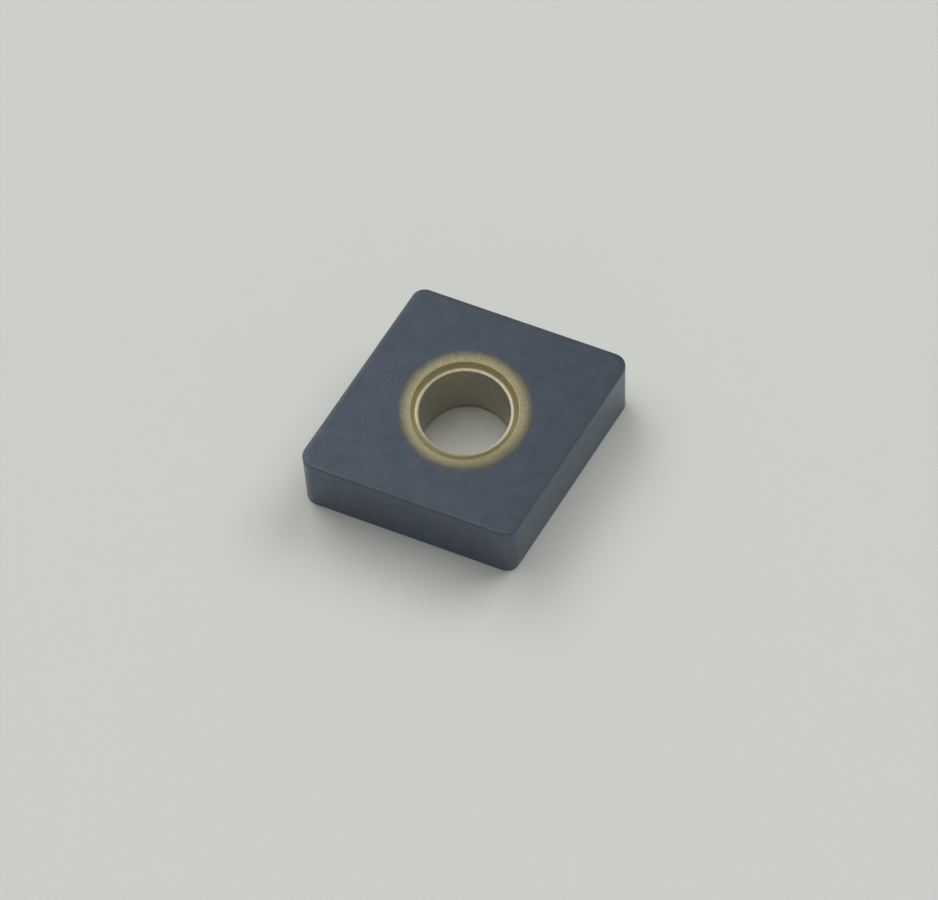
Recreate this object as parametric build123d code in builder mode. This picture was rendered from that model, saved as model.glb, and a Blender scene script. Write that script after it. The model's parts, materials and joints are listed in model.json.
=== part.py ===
"""Indexable rhombic cutting insert, flat on both faces, with a through hole recessed at both ends.

ISO 1832 shape CNMA 12 04 08: an 80 degree rhombus on a 12.70 mm inscribed circle, 4.76 mm thick,
with 0.8 mm corner radii, square (0 degree) flanks and two acute cutting corners on each face.
It is pressed and sintered in one piece, so it is one solid.

Frame: the origin is on the hole's axis in the bottom seating face. +Z runs up the hole, and
+X runs along the long diagonal to an acute cutting corner. Lengths are in millimetres.
"""

import os
from math import cos, radians, sin

from build123d import *

# Driving dimensions of the body
INSCRIBED_CIRCLE = 12.70
THICKNESS = 4.76
CORNER_ANGLE = 80.0
CORNER_RADIUS = 0.794
EDGE_HONE = 0.05

# Driving dimensions of the hole and of the shallow recess at each of its ends
BORE_DIAMETER = 5.16
ENTRY_DIAMETER = 6.11
LEDGE_DIAMETER = 5.50
LEDGE_DEPTH = 0.25
LEDGE_FOOT_RADIUS = 0.35
BORE_EDGE_RADIUS = 0.03

# Worked out from the driving dimensions
SIDE = INSCRIBED_CIRCLE / sin(radians(CORNER_ANGLE))
HALF_LONG_DIAGONAL = SIDE * cos(radians(CORNER_ANGLE / 2))
HALF_SHORT_DIAGONAL = SIDE * sin(radians(CORNER_ANGLE / 2))
BORE_RADIUS = BORE_DIAMETER / 2


def hole_wall():
    """The wall's corners as (radius, height) from the bottom mouth to the top one."""
    lower = [
        (ENTRY_DIAMETER / 2, 0),
        (LEDGE_DIAMETER / 2, LEDGE_DEPTH),
        (BORE_RADIUS, LEDGE_DEPTH),
    ]
    upper = [(radius, THICKNESS - height) for radius, height in reversed(lower)]
    return lower + upper


# The body: one rounded rhombus, with the cutting edges honed all round both faces.
with BuildPart() as insert_body:
    with BuildSketch() as outline:
        with BuildLine():
            Polyline(
                (HALF_LONG_DIAGONAL, 0),
                (0, HALF_SHORT_DIAGONAL),
                (-HALF_LONG_DIAGONAL, 0),
                (0, -HALF_SHORT_DIAGONAL),
                close=True,
            )
        make_face()
        fillet(outline.vertices(), radius=CORNER_RADIUS)
    extrude(amount=THICKNESS)
    cutting_edges = insert_body.faces().filter_by(Axis.Z).edges()
    fillet(cutting_edges, radius=EDGE_HONE)

    # The hole: at each end a hollow slope leads down to a narrow ledge round the rounded bore edge.
    with BuildSketch(Plane.XZ) as hole_profile:
        with BuildLine():
            wall = Polyline(*hole_wall())
            Polyline(wall @ 1, (0, THICKNESS), (0, 0), wall @ 0)
        make_face()
        bore_edges = hole_profile.vertices().group_by(Axis.X)[1]
        fillet(bore_edges, radius=BORE_EDGE_RADIUS)
        ledge_feet = hole_profile.vertices().group_by(Axis.X)[-2]
        fillet(ledge_feet, radius=LEDGE_FOOT_RADIUS)
    revolve(axis=Axis.Z, mode=Mode.SUBTRACT)

insert_body.part.label = "insert_body"

os.makedirs("parts", exist_ok=True)
export_step(insert_body.part, "parts/insert_body.step")
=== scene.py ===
"""Looks of a coated carbide cutting insert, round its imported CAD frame. Lengths are in metres."""

import json
from math import cos, pi, radians, sin, tan

import bpy
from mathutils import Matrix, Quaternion, Vector


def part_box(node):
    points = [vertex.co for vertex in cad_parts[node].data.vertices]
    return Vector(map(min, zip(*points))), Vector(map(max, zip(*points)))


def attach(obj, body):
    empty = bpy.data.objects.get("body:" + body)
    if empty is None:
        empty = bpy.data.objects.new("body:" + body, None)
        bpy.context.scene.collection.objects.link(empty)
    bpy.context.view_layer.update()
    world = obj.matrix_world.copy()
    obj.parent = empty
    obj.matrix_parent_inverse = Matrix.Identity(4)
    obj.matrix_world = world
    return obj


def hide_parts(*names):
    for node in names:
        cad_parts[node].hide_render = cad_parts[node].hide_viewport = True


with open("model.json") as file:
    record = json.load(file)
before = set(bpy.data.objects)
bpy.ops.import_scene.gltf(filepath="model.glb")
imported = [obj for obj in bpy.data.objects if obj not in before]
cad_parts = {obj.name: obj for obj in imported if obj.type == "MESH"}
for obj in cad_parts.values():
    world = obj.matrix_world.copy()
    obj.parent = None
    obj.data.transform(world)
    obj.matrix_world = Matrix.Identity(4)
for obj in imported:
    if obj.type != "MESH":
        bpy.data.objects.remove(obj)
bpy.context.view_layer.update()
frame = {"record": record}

MM = 0.001
NODE = "insert_body"

# ---------------------------------------------------------------- sizes of the insert

mounts = {mount["name"]: mount for mount in frame["record"]["mounts"]}
BOTTOM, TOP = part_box(NODE)[0].z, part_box(NODE)[1].z
MIDDLE = (BOTTOM + TOP) / 2
BORE_RADIUS = mounts["lock_hole"]["dims"]["r_mm"] * MM
INSCRIBED_RADIUS = Vector(mounts["flank_right_back"]["pos_m"][:2]).length
HALF_ACUTE = radians(40)
HALF_OBTUSE = radians(50)
CORNER_RADIUS = 0.794 * MM
HONE = 0.05 * MM

ENTRY_RADIUS = 3.055 * MM
LEDGE_RADIUS = 2.75 * MM
LEDGE_DEPTH = 0.25 * MM
ENTRY_EDGE_RADIUS = 0.08 * MM
LEDGE_FOOT_RADIUS = 0.35 * MM
BORE_EDGE_RADIUS = 0.03 * MM

# ---------------------------------------------------------------- how finely it is divided

CORNER_STEPS = 14
FLANK_STEPS = 44
FACE_STEPS = 16
HONE_STEPS = 6
ROUND_STEPS = 6
WALL_STEPS = 6


def rounded(points, radii, steps):
    """A run of (radius, height) points with each inner corner turned into an arc."""
    path = [Vector(points[0])]
    for before, corner, after, radius in zip(points, points[1:], points[2:], radii):
        corner = Vector(corner)
        back = (Vector(before) - corner).normalized()
        ahead = (Vector(after) - corner).normalized()
        half = back.angle(ahead) / 2
        centre = corner + (back + ahead).normalized() * radius / sin(half)
        start = corner + back * radius / tan(half) - centre
        end = corner + ahead * radius / tan(half) - centre
        for step in range(steps + 1):
            path.append(centre + start.lerp(end, step / steps).normalized() * radius)
    return path + [Vector(points[-1])]


def outline(inset):
    """The outline from above, drawn in by inset, anticlockwise from the acute corner on +X."""
    arcs = []
    for corner in range(4):
        facing = corner * pi / 2
        half_corner = HALF_OBTUSE if corner % 2 else HALF_ACUTE
        reach = (INSCRIBED_RADIUS - CORNER_RADIUS) / sin(half_corner)
        centre = Vector((cos(facing), sin(facing))) * reach
        turn = pi / 2 - half_corner
        arc = []
        for step in range(CORNER_STEPS + 1):
            angle = facing + turn * (2 * step / CORNER_STEPS - 1)
            arc.append(centre + Vector((cos(angle), sin(angle))) * (CORNER_RADIUS - inset))
        arcs.append(arc)
    points = []
    for arc, following in zip(arcs, arcs[1:] + arcs[:1]):
        points += arc
        for step in range(1, FLANK_STEPS):
            points.append(arc[-1].lerp(following[0], step / FLANK_STEPS))
    return points


def upper_half():
    """Rings of points over the upper half: up the bore, out over the face and down the flank."""
    rim = outline(0)
    directions = [point.normalized() for point in rim]
    corners = [
        (BORE_RADIUS, MIDDLE),
        (BORE_RADIUS, TOP - LEDGE_DEPTH),
        (LEDGE_RADIUS, TOP - LEDGE_DEPTH),
        (ENTRY_RADIUS, TOP),
        (ENTRY_RADIUS + ENTRY_EDGE_RADIUS, TOP),
    ]
    hole = rounded(corners, [BORE_EDGE_RADIUS, LEDGE_FOOT_RADIUS, ENTRY_EDGE_RADIUS], ROUND_STEPS)
    wall_top = hole[1].y
    wall = []
    for step in range(WALL_STEPS):
        wall.append(Vector((BORE_RADIUS, MIDDLE + (wall_top - MIDDLE) * step / WALL_STEPS)))
    rings = []
    for radius, height in wall + hole[1:]:
        rings.append([(*(direction * radius), height) for direction in directions])
    inner = [direction * hole[-1].x for direction in directions]
    outer = outline(HONE)
    for step in range(1, FACE_STEPS):
        share = step / FACE_STEPS
        rings.append([(*a.lerp(b, share), TOP) for a, b in zip(inner, outer)])
    for step in range(HONE_STEPS + 1):
        angle = pi / 2 * step / HONE_STEPS
        height = TOP - HONE * (1 - cos(angle))
        rings.append([(*point, height) for point in outline(HONE * (1 - sin(angle)))])
    flank_top = TOP - HONE
    for step in range(1, WALL_STEPS + 1):
        height = flank_top + (MIDDLE - flank_top) * step / WALL_STEPS
        rings.append([(*point, height) for point in rim])
    return rings


def make_body():
    """The insert as one closed mesh of quads, its lower half the mirror image of its upper half."""
    upper = upper_half()
    lower = [[(x, y, 2 * MIDDLE - z) for x, y, z in ring] for ring in reversed(upper[1:-1])]
    rings = upper + lower
    columns = len(rings[0])
    faces = []
    for row in range(len(rings)):
        here, there = row * columns, (row + 1) % len(rings) * columns
        for column in range(columns):
            beside = (column + 1) % columns
            faces.append((here + column, there + column, there + beside, here + beside))
    mesh = bpy.data.meshes.new("insert")
    mesh.from_pydata([point for ring in rings for point in ring], [], faces)
    mesh.validate()
    mesh.shade_smooth()
    body = bpy.data.objects.new("insert", mesh)
    bpy.context.scene.collection.objects.link(body)
    return body


# ---------------------------------------------------------------- materials

SLATE_GROUND = (0.034, 0.047, 0.06, 1), (0.051, 0.059, 0.083, 1)
# The flank colour is a painted sheen: paler and bluer than the faces, standing in for the floor's
# reflection at a grazing angle.
SLATE_FLANK_SHEEN = (0.065, 0.087, 0.115, 1), (0.091, 0.11, 0.151, 1)
OLIVE = (0.05, 0.06, 0.05, 1)
GOLD = (0.26, 0.22, 0.11, 1), (0.3, 0.26, 0.14, 1)
SLOPE_GOLD = (0.345, 0.292, 0.143, 1)
LEDGE_GOLD = (0.35, 0.317, 0.232, 1)
BORE_GOLD = (0.425, 0.385, 0.28, 1)

# The gold on the face: full at the first radius and gone at the second, round its own centre.
GOLD_CENTRE = Vector((0.044, -0.008, 0)) * MM
GOLD_EDGE = 3.1 * MM, 3.85 * MM
OLIVE_EDGE = 3.6 * MM, 4.0 * MM
FRAY_REACH = 0.22 * MM
THIN_GOLD = 0.72
THINNING = -3.3 * MM, -1.8 * MM

# How large the grains of each pattern are.
SPECKLE_GRAIN = 0.14 * MM
FRAY_GRAIN = 0.35 * MM
GOLD_GRAIN = 0.5 * MM
BLOTCH_GRAIN = 0.9 * MM

FLOOR_COLOUR = (0.685, 0.70, 0.658, 1)


class Nodes:
    """A short way to write a material or world: each call adds one node and returns its output."""

    def __init__(self, owner, shader="Principled BSDF"):
        owner.use_nodes = True
        self.tree = owner.node_tree
        self.shader = self.tree.nodes[shader]

    def add(self, kind, inputs=None, output=0, **settings):
        node = self.tree.nodes.new("ShaderNode" + kind)
        for name, value in settings.items():
            setattr(node, name, value)
        for name, value in (inputs or {}).items():
            self.put(node.inputs[name], value)
        return node.outputs[output]

    def put(self, socket, value):
        if isinstance(value, bpy.types.NodeSocket):
            self.tree.links.new(value, socket)
        else:
            socket.default_value = value

    def math(self, operation, a, b=0.0, c=0.0):
        return self.add("Math", {0: a, 1: b, 2: c}, operation=operation)

    def mix(self, share, a, b):
        return self.add("Mix", {0: share, 6: a, 7: b}, output=2, data_type="RGBA")

    def noise(self, where, size, detail=2.0, roughness=0.5):
        """Noise from 0 to 1 whose largest grains are about size metres across."""
        inputs = {"Vector": where, "Scale": 1 / size, "Detail": detail, "Roughness": roughness}
        return self.add("TexNoise", inputs)

    def ramp(self, value, start, end, smooth=True, low=0.0, high=1.0):
        kind = "SMOOTHSTEP" if smooth else "LINEAR"
        inputs = {"Value": value, "From Min": start, "From Max": end, "To Min": low, "To Max": high}
        return self.add("MapRange", inputs, interpolation_type=kind)


def coated_carbide():
    """Slate coating over the body, worn back to its gold inner layer round and inside the hole."""
    material = bpy.data.materials.new("coated_carbide")
    n = Nodes(material)
    place = n.add("TexCoord", output="Object")
    fine = n.noise(place, SPECKLE_GRAIN)

    # How far the gold shows, from 0 to 1: it frays outwards and is thinner on the -Y side.
    flat = n.add("VectorMath", {0: place, 1: (1, 1, 0)}, operation="MULTIPLY")
    centred = n.add("VectorMath", {0: flat, 1: GOLD_CENTRE}, operation="SUBTRACT")
    from_centre = n.add("VectorMath", {0: centred}, output="Value", operation="LENGTH")
    fray = n.math("SUBTRACT", n.noise(place, FRAY_GRAIN, 3.0, 0.6), 0.5)
    frayed = n.math("MULTIPLY_ADD", fray, FRAY_REACH, from_centre)
    across = n.add("SeparateXYZ", {0: place}, output="Y")
    thickness = n.ramp(across, *THINNING, low=THIN_GOLD, high=1)
    gold_share = n.math("MULTIPLY", n.ramp(frayed, *reversed(GOLD_EDGE)), thickness)
    olive_share = n.ramp(frayed, *reversed(OLIVE_EDGE))

    # The faces are ground. The flanks are painted paler and bluer, a painted sheen that stands in
    # for the floor's reflection on them at a grazing angle.
    facing = n.add("SeparateXYZ", {0: n.add("TexCoord", output="Normal")}, output="Z")
    flank_sheen_share = n.ramp(n.math("ABSOLUTE", facing), 0.7, 0.2)
    blotches = n.ramp(n.noise(place, BLOTCH_GRAIN, 4.0, 0.6), 0.3, 0.7, smooth=False)
    ground = n.mix(blotches, *SLATE_GROUND)
    flank_sheen = n.mix(blotches, *SLATE_FLANK_SHEEN)
    slate = n.mix(flank_sheen_share, ground, flank_sheen)
    tinged = n.mix(olive_share, slate, OLIVE)

    # The gold is richer on the slope of the entry, and paler on the ledge and in the bore.
    from_axis = n.add("VectorMath", {0: flat}, output="Value", operation="LENGTH")
    worn = n.mix(n.noise(place, GOLD_GRAIN, 3.0), *GOLD)
    slope_share = n.ramp(from_axis, ENTRY_RADIUS + 0.03 * MM, ENTRY_RADIUS - 0.03 * MM)
    ledge_share = n.ramp(from_axis, LEDGE_RADIUS, LEDGE_RADIUS - 0.09 * MM)
    bore_share = n.ramp(from_axis, BORE_RADIUS + 0.04 * MM, BORE_RADIUS + 0.01 * MM)
    worn = n.mix(slope_share, worn, SLOPE_GOLD)
    worn = n.mix(ledge_share, worn, LEDGE_GOLD)
    worn = n.mix(bore_share, worn, BORE_GOLD)
    colour = n.mix(gold_share, tinged, worn)
    speckle = n.ramp(fine, 0.3, 0.7, smooth=False, low=0.88, high=1.12)
    speckled = n.add("VectorMath", {0: colour, "Scale": speckle}, operation="SCALE")
    n.put(n.shader.inputs["Base Color"], speckled)

    n.put(n.shader.inputs["Metallic"], n.ramp(gold_share, 0, 1, smooth=False, low=0.5, high=0.4))
    n.put(n.shader.inputs["Roughness"], n.ramp(fine, 0.3, 0.7, smooth=False, low=0.28, high=0.31))
    bump = n.add("Bump", {"Strength": 0.1, "Distance": 0.003 * MM, "Height": fine})
    n.put(n.shader.inputs["Normal"], bump)
    n.shader.inputs["IOR"].default_value = 1.55
    n.shader.inputs["Specular Tint"].default_value = (0.8, 0.92, 1, 1)
    return material


def floor_paint():
    material = bpy.data.materials.new("floor")
    n = Nodes(material)
    n.shader.inputs["Base Color"].default_value = FLOOR_COLOUR
    n.shader.inputs["Roughness"].default_value = 0.8
    n.shader.inputs["Specular IOR Level"].default_value = 0.2
    return material


# ---------------------------------------------------------------- stage, light and camera

FLOOR_HALF = 1.0
FLOOR_LIGHT = 2.9
SKY_SHARE = 0.13
HORIZON = (0.6, 0.61, 0.575, 1)

# Each softbox's azimuth, elevation and spread in degrees, and its share of the floor's light.
SOFTBOXES = {
    "right_softbox": (110, 50, 34, 0.27),
    "back_softbox": (190, 50, 34, 0.21),
    "left_softbox": (230, 62, 34, 0.17),
    "top_softbox": (0, 90, 40, 0.24),
}
SOFTBOX_DISTANCE = 4.0

CAMERA_TARGET = Vector((-0.2245, -1.2919, 2.38)) * MM
CAMERA_AZIMUTH = -14.913
CAMERA_ELEVATION = 63.81
CAMERA_DISTANCE = 267.17 * MM
CAMERA_ROLL = radians(-3.59)
LENS = 182.96
SENSOR_WIDTH = 36


def make_floor():
    mesh = bpy.data.meshes.new("floor")
    signs = [(-1, -1), (1, -1), (1, 1), (-1, 1)]
    corners = [(x * FLOOR_HALF, y * FLOOR_HALF, BOTTOM) for x, y in signs]
    mesh.from_pydata(corners, [], [(0, 1, 2, 3)])
    floor = bpy.data.objects.new("floor", mesh)
    floor.data.materials.append(floor_paint())
    bpy.context.scene.collection.objects.link(floor)


def direction(azimuth, elevation):
    """A unit vector at that azimuth, counted from -Y as the views count it, and elevation."""
    a, e = radians(azimuth), radians(elevation)
    return Vector((sin(a) * cos(e), -cos(a) * cos(e), sin(e)))


def make_softbox(name, azimuth, elevation, spread, share):
    """A round softbox spread degrees wide that gives the floor that share of its light."""
    light = bpy.data.lights.new(name, "AREA")
    light.shape = "DISK"
    light.size = 2 * SOFTBOX_DISTANCE * tan(radians(spread / 2))
    light.energy = share * FLOOR_LIGHT * pi * SOFTBOX_DISTANCE**2 / sin(radians(elevation))
    lamp = bpy.data.objects.new(name, light)
    away = direction(azimuth, elevation)
    lamp.location = away * SOFTBOX_DISTANCE
    lamp.rotation_mode = "QUATERNION"
    lamp.rotation_quaternion = away.to_track_quat("Z", "Y")
    bpy.context.scene.collection.objects.link(lamp)


def make_world():
    """Even light from all round, which gives the floor its share of light, over a pale horizon."""
    world = bpy.data.worlds.new("studio")
    n = Nodes(world, "Background")
    height = n.add("SeparateXYZ", {0: n.add("TexCoord", output="Generated")}, output="Z")
    sky = SKY_SHARE * FLOOR_LIGHT / pi
    shade = n.mix(n.ramp(height, 0.06, 0.25), HORIZON, (sky, sky, sky, 1))
    n.put(n.shader.inputs["Color"], shade)
    n.shader.inputs["Strength"].default_value = 1
    bpy.context.scene.world = world


def make_camera():
    """A long lens from the near left, high up."""
    camera_data = bpy.data.cameras.new("camera")
    camera_data.lens = LENS
    camera_data.sensor_width = SENSOR_WIDTH
    camera_data.clip_start = 0.01
    camera_data.clip_end = 5
    camera = bpy.data.objects.new("camera", camera_data)
    away = direction(CAMERA_AZIMUTH, CAMERA_ELEVATION)
    camera.location = CAMERA_TARGET + away * CAMERA_DISTANCE
    camera.rotation_mode = "QUATERNION"
    upright = (-away).to_track_quat("-Z", "Y")
    camera.rotation_quaternion = upright @ Quaternion((0, 0, 1), CAMERA_ROLL)
    bpy.context.scene.collection.objects.link(camera)
    bpy.context.scene.camera = camera


body = make_body()
body.data.materials.append(coated_carbide())
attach(body, "root")
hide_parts(NODE)

make_floor()
make_world()
for name, settings in SOFTBOXES.items():
    make_softbox(name, *settings)
make_camera()
bpy.context.scene.view_settings.view_transform = "Standard"
